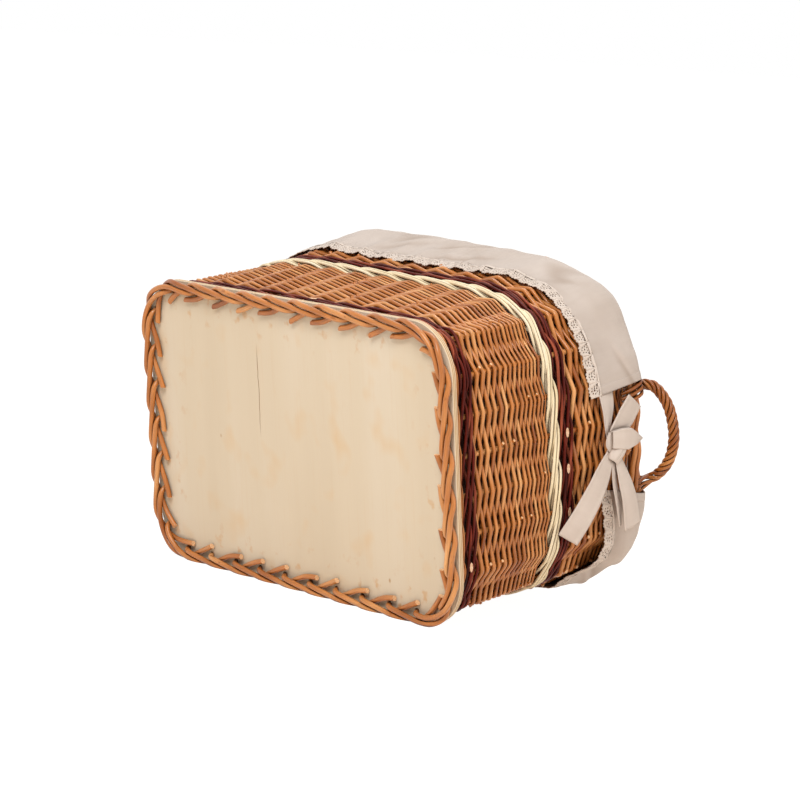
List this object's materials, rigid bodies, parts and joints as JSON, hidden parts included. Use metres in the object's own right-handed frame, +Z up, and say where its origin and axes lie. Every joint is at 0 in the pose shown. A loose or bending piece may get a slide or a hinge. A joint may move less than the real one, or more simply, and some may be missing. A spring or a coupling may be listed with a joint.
{
  "type": "storage basket",
  "caption": "Rectangular woven willow storage basket on a plywood base, with roped end handles and a cotton liner folded over the rim, edged with lace and tied with bows at the handles.",
  "frame": {"origin": "middle of the basket's box on the floor plane that its foot border stands on", "axes": "+Z up, X along the length with a handle at each end, Y across the width"},
  "size_m": [0.4918, 0.3064, 0.2444],
  "materials": {
    "plywood": "raw birch plywood",
    "willow": "steamed willow, satin",
    "willow_dark": "red-brown stained willow, satin",
    "willow_cream": "peeled white willow, satin",
    "cotton": "plain woven cotton, matt",
    "lace": "crocheted cotton lace, matt"
  },
  "bodies": {
    "root": {"base_board": "plywood", "stake_01": "willow", "stake_02": "willow", "stake_03": "willow", "stake_04": "willow", "stake_05": "willow", "stake_06": "willow", "stake_07": "willow", "stake_08": "willow", "stake_09": "willow", "stake_10": "willow", "stake_11": "willow", "stake_12": "willow", "stake_13": "willow", "stake_14": "willow", "stake_15": "willow", "stake_16": "willow", "stake_17": "willow", "stake_18": "willow", "stake_19": "willow", "stake_20": "willow", "stake_21": "willow", "stake_22": "willow", "stake_23": "willow", "stake_24": "willow", "stake_25": "willow", "stake_26": "willow", "stake_27": "willow", "stake_28": "willow", "stake_29": "willow", "stake_30": "willow", "stake_31": "willow", "stake_32": "willow", "stake_33": "willow", "stake_34": "willow", "stake_35": "willow", "upsett_weave": "willow", "main_weave": "willow", "upper_weave": "willow", "handle_right": "willow", "handle_left": "willow", "lower_dark_wale": "willow_dark", "upper_dark_wale": "willow_dark", "cream_wale": "willow_cream", "liner_bag": "cotton", "liner_skirt_front": "cotton", "liner_skirt_back": "cotton", "tie_strap_front_right": "cotton", "tie_strap_front_left": "cotton", "tie_strap_back_right": "cotton", "tie_strap_back_left": "cotton", "bow_right": "cotton", "bow_left": "cotton", "tail_long_right": "cotton", "tail_long_left": "cotton", "tail_short_right": "cotton", "tail_short_left": "cotton", "lace_front": "lace", "lace_back": "lace"}
  },
  "joints": []
}
